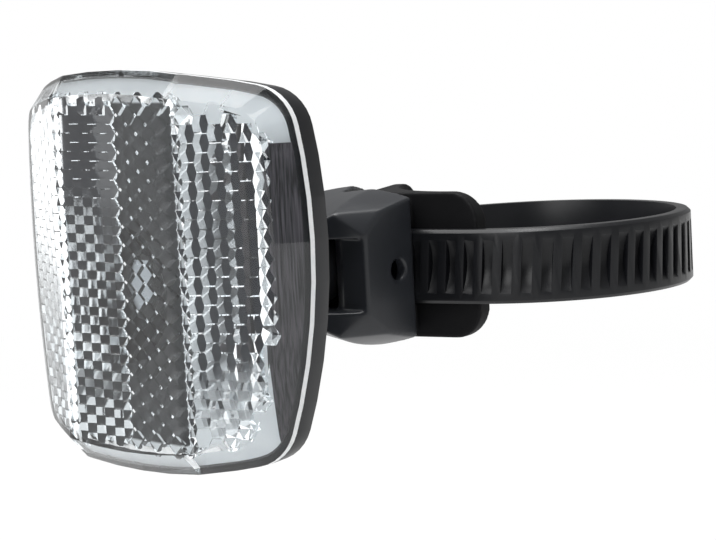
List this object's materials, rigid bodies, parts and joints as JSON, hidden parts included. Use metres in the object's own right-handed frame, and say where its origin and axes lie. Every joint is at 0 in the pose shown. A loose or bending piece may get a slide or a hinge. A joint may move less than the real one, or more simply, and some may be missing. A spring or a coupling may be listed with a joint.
{
  "type": "front reflector",
  "caption": "Bicycle front reflector: folded clear prism lens on a black shell, held by a ball joint in a fork-shaped clamp with a worm-drive strap and a saddle pad for a round bar.",
  "frame": {"origin": "centre of the round bar that the saddle pad seats on, half way along the clamp", "axes": "+Z along the bar, upward as pictured; -Y from the bar towards the ball joint and reflector; +X towards the side with the strap's worm screw and key hole"},
  "size_m": [0.0574, 0.0903, 0.0522],
  "materials": {
    "clear_lens": "polished clear acrylic with moulded prisms",
    "black_shell": "black moulded plastic, semi-gloss",
    "zinc_steel": "zinc-plated steel",
    "ball_plastic": "glossy black acetal",
    "pad_plastic": "matte dark grey plastic",
    "housing_plastic": "black glass-filled nylon, semi-gloss",
    "worm_steel": "plated steel",
    "strap_nylon": "black nylon, semi-matte",
    "saddle_rubber": "matte black rubber"
  },
  "bodies": {
    "clamp": {"clamp_housing": "housing_plastic", "saddle_pad": "saddle_rubber", "strap": "strap_nylon"},
    "worm": {"worm_screw": "worm_steel"},
    "pads": {"upper_ball_pad": "pad_plastic", "lower_ball_pad": "pad_plastic"},
    "ball": {"ball": "ball_plastic"},
    "reflector": {"lens": "clear_lens", "back_shell": "black_shell", "captive_bolt": "zinc_steel"}
  },
  "joints": [
    {"name": "worm_turn", "type": "hinge", "parent": "clamp", "child": "worm", "pos_m": [0.00713, -0.0219, 0], "axis": [0.7826, 0.6225, 0], "continuous": true},
    {"name": "swivel", "type": "hinge", "parent": "clamp", "child": "pads", "pos_m": [0, -0.0288, 0], "axis": [0, 0, 1], "range_deg": [-65, 25]},
    {"name": "tilt", "type": "hinge", "parent": "pads", "child": "ball", "pos_m": [0, -0.0288, 0], "axis": [0.9397, 0.342, 0], "range_deg": [-11, 11]},
    {"name": "roll", "type": "hinge", "parent": "ball", "child": "reflector", "pos_m": [0, -0.0288, 0], "axis": [0.342, -0.9397, 0], "continuous": true}
  ]
}
